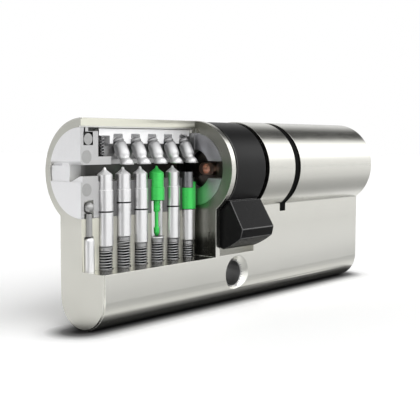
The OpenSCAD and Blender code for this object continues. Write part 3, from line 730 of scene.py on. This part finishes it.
def rear_spring_set():
    """The six rear springs, joined into one piece."""
    lo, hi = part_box("rear_springs")
    first, last = lo.x + REAR_COIL_RADIUS, hi.x - REAR_COIL_RADIUS
    made = []
    for i in range(len(COLUMNS)):
        x = first + (last - first) * i / (len(COLUMNS) - 1)
        made.append(wound("rear_spring_%d" % i, Coil_Radius=REAR_COIL_RADIUS, Wire_Radius=REAR_WIRE_RADIUS,
                          Low_End=lo.z, High_End=hi.z, Turns=REAR_TURNS, Closed_Low=1.0, Closed_High=1.0,
                          Centre_X=x, Centre_Y=0.0))
    mesh = bmesh.new()
    for spring in made:
        mesh.from_mesh(spring.data)
    joined = bpy.data.meshes.new("rear_springs_wound")
    mesh.to_mesh(joined)
    mesh.free()
    joined.materials.append(FINISH["spring_steel"])
    for spring in made:
        bpy.data.objects.remove(spring)
    piece = bpy.data.objects.new("rear_springs_wound", joined)
    scene.collection.objects.link(piece)
    return settle(piece, "rear_springs")


rear_spring_set()


# ---------------------------------------------------------------- studio

WHITE = (1, 1, 1, 1)


def back_vector(azimuth, elevation):
    """From the object towards a viewer: azimuth 0 stands at -Y, 90 at +X."""
    a, e = math.radians(azimuth), math.radians(elevation)
    return Vector((math.sin(a) * math.cos(e), -math.cos(a) * math.cos(e), math.sin(e)))


# Light level by angle about the plugs' axis, in degrees from level on the near side.
PANELS = [(-180, 0.82), (-140, 0.9), (-90, 0.6), (-40, 0.5), (-26, 0.7), (-15, 0.85), (-4, 1), (6, 1.12),
          (18, 1.26), (26, 1.85), (32, 2.1), (58, 2.1), (66, 1.5), (73, 0.8), (81, 0.18), (92, 0.08),
          (108, 0.1), (124, 0.5), (142, 0.92), (160, 0.85), (180, 0.82)]
# The level that the top of the panels' ramp stands for.
FULL_LEVEL = 2.5
# Off the front end the panels are a little weaker. The change runs between two X parts of the direction.
END_LEVEL = 0.85
END_FADE = (-0.85, -0.2)
# A dark flag stands upright off the front corner and darkens the middle of round uprights.
FLAG_SIDE = (-0.83, -0.56)
FLAG_LEVEL = 0.3
# Its edge runs between two cosines of the angle to its side.
FLAG_EDGE = (0.9, 0.99)
# The floor's level where it is seen or mirrored, and half its side in metres.
FLOOR_LEVEL = 1.24
FLOOR_HALF = 1.5
# The distances from the screw, in metres, between which the flag's painted shade comes in on the floor.
FLAG_FADE = (0.05, 0.11)
# The length ahead of the front end over which the floor's painted bands of shade run out.
BAND_END = 4 * MM

# The camera: its target in millimetres from the point of the plugs' axis above the screw, its side, height
# and roll in degrees, its distance, and its sensor and lens in millimetres.
TARGET = (-1.652, 0, -7.512)
CAMERA_AZIMUTH = -50.936
CAMERA_ELEVATION = 4.603
CAMERA_DISTANCE = 155.791 * MM
CAMERA_ROLL = 0.196
SENSOR = 36.0
LENS = 73.5700286


def flag_shade(tree, x, y):
    """The flag's darkening for a level direction, x and y being its unit parts."""
    toward = math_node(tree, "ADD", math_node(tree, "MULTIPLY", x, FLAG_SIDE[0]),
                       math_node(tree, "MULTIPLY", y, FLAG_SIDE[1]))
    return ranged(tree, toward, *FLAG_EDGE, 1.0, FLAG_LEVEL, smooth=True)


def make_camera():
    target = Vector(TARGET) * MM + Vector((0, 0, AXIS_Z))
    data = bpy.data.cameras.new("camera")
    data.sensor_width, data.lens = SENSOR, LENS
    data.clip_start, data.clip_end = 0.01, 10
    camera = bpy.data.objects.new("camera", data)
    back = back_vector(CAMERA_AZIMUTH, CAMERA_ELEVATION)
    camera.location = target + back * CAMERA_DISTANCE
    camera.rotation_mode = "QUATERNION"
    camera.rotation_quaternion = (-back).to_track_quat("-Z", "Y")
    camera.rotation_quaternion.rotate(Matrix.Rotation(math.radians(CAMERA_ROLL), 3, back))
    scene.collection.objects.link(camera)
    scene.camera = camera


def grey_ramp(tree, value, low, high, stops):
    """A grey that runs through the stops, each a place from low to high and a level."""
    ramp = add(tree, "ShaderNodeValToRGB", {0: ranged(tree, value, low, high)})
    elements = ramp.color_ramp.elements
    for index, (place, level) in enumerate(stops):
        share = (place - low) / (high - low)
        element = elements[index] if index < 2 else elements.new(share)
        element.position = share
        element.color = (level, level, level, 1)
    return ramp.outputs[0]


def make_world():
    """Long panels beside the cylinder: the light changes with the angle about the plugs' axis."""
    world = bpy.data.worlds.new("studio")
    scene.world = world
    world.use_nodes = True
    tree = world.node_tree
    tree.nodes.clear()
    where = add(tree, "ShaderNodeTexCoord").outputs["Generated"]
    parts = parts_of(tree, where)
    near = math_node(tree, "MULTIPLY", parts[1], -1.0)
    angle = math_node(tree, "MULTIPLY", math_node(tree, "ARCTAN2", parts[2], near), 180 / math.pi)
    panels = grey_ramp(tree, angle, -180, 180, [(degrees, level / FULL_LEVEL) for degrees, level in PANELS])
    ends = ranged(tree, parts[0], *END_FADE, END_LEVEL, 1.0, smooth=True)
    flag = flag_shade(tree, parts[0], parts[1])
    level = math_node(tree, "MULTIPLY", math_node(tree, "MULTIPLY", ends, flag), FULL_LEVEL)
    lit = add(tree, "ShaderNodeBackground", {"Color": panels, "Strength": level})
    in_view = add(tree, "ShaderNodeLightPath").outputs["Is Camera Ray"]
    plain = mixed(tree, in_view, panels, WHITE)
    strength = ranged(tree, in_view, 0, 1, level, 1.0)
    seen = add(tree, "ShaderNodeBackground", {"Color": plain, "Strength": strength})
    output = add(tree, "ShaderNodeOutputWorld")
    tree.links.new(shown_white(tree, lit, seen), output.inputs[0])


def shown_white(tree, lit, seen):
    """Mixes in what is seen directly, in a mirror finish or through glass."""
    path = add(tree, "ShaderNodeLightPath")
    mirrored = math_node(tree, "MAXIMUM", path.outputs["Is Glossy Ray"], path.outputs["Is Transmission Ray"])
    direct = math_node(tree, "MAXIMUM", path.outputs["Is Camera Ray"], mirrored)
    both = add(tree, "ShaderNodeMixShader", {0: direct, 1: lit.outputs[0], 2: seen.outputs[0]})
    return both.outputs[0]


def distance_from_foot(tree):
    """Millimetres on the floor from the line on which the foot stands."""
    parts = parts_of(tree, place_on_piece(tree))
    past_front = math_node(tree, "MAXIMUM", math_node(tree, "SUBTRACT", FRONT_X, parts[0]), 0.0)
    past_rear = math_node(tree, "MAXIMUM", math_node(tree, "SUBTRACT", parts[0], cad_box[1].x), 0.0)
    past = math_node(tree, "ADD", past_front, past_rear)
    return math_node(tree, "DIVIDE", length_of(tree, past, parts[1]), MM)


# Grey levels painted on the floor by millimetres. The first two are painted contact shadows by the distance
# from the foot's line, as seen and as the metal reflects them. The last are painted bands of shade that the
# metal reflects, by the distance to either side of the plugs' plane.
SEEN_SHADE = [(0, 0.02), (1, 0.03), (3, 0.16), (4.5, 0.5), (6, 0.82), (8, 0.95), (12, 1)]
REFLECTED_SHADE = [(0, 0.02), (3.8, 0.05), (5.2, 0.3), (6.4, 1)]
REFLECTED_BANDS = [(0, 1), (6, 0.95), (10, 0.58), (16, 0.46), (22, 0.5), (32, 0.62), (47, 0.82), (68, 0.88),
                   (95, 0.96), (140, 1)]


def make_floor():
    """A diffuse sheet under the foot, with a painted contact shadow, and painted bands of shade and the
    flag's painted shade that the metal reflects.
    """
    mesh = bpy.data.meshes.new("floor")
    corners = [(-1, -1), (1, -1), (1, 1), (-1, 1)]
    mesh.from_pydata([(x * FLOOR_HALF, y * FLOOR_HALF, FLOOR_Z) for x, y in corners], [], [(0, 1, 2, 3)])
    floor = bpy.data.objects.new("floor", mesh)
    scene.collection.objects.link(floor)
    material = bpy.data.materials.new("floor_sheet")
    tree = nodes_of(material)
    away = distance_from_foot(tree)
    near = grey_ramp(tree, away, 0, SEEN_SHADE[-1][0], SEEN_SHADE)
    parts = parts_of(tree, place_on_piece(tree))
    aside = math_node(tree, "DIVIDE", math_node(tree, "ABSOLUTE", parts[1]), MM)
    band = grey_ramp(tree, aside, 0, REFLECTED_BANDS[-1][0], REFLECTED_BANDS)
    contact = grey_ramp(tree, away, 0, REFLECTED_SHADE[-1][0], REFLECTED_SHADE)
    reach = length_of(tree, parts[0], parts[1])
    unit_x = math_node(tree, "DIVIDE", parts[0], reach)
    unit_y = math_node(tree, "DIVIDE", parts[1], reach)
    # The flag's shade is painted on the floor here, for the metal to reflect.
    flag = flag_shade(tree, unit_x, unit_y)
    flag = mixed(tree, ranged(tree, reach, *FLAG_FADE), WHITE, flag)
    ahead = ranged(tree, math_node(tree, "SUBTRACT", FRONT_X, parts[0]), 0, BAND_END)
    wide = multiplied(tree, multiplied(tree, mixed(tree, ahead, band, WHITE), contact), flag)
    mirror = add(tree, "ShaderNodeLightPath").outputs["Is Glossy Ray"]
    level = multiplied(tree, mixed(tree, mirror, near, wide), (FLOOR_LEVEL, FLOOR_LEVEL, FLOOR_LEVEL))
    shown = add(tree, "ShaderNodeBsdfDiffuse", {"Color": level})
    other = add(tree, "ShaderNodeBsdfDiffuse", {"Color": near})
    output = add(tree, "ShaderNodeOutputMaterial")
    tree.links.new(shown_white(tree, other, shown), output.inputs[0])
    mesh.materials.append(material)


scene.view_settings.view_transform = "Standard"
make_camera()
make_world()
make_floor()
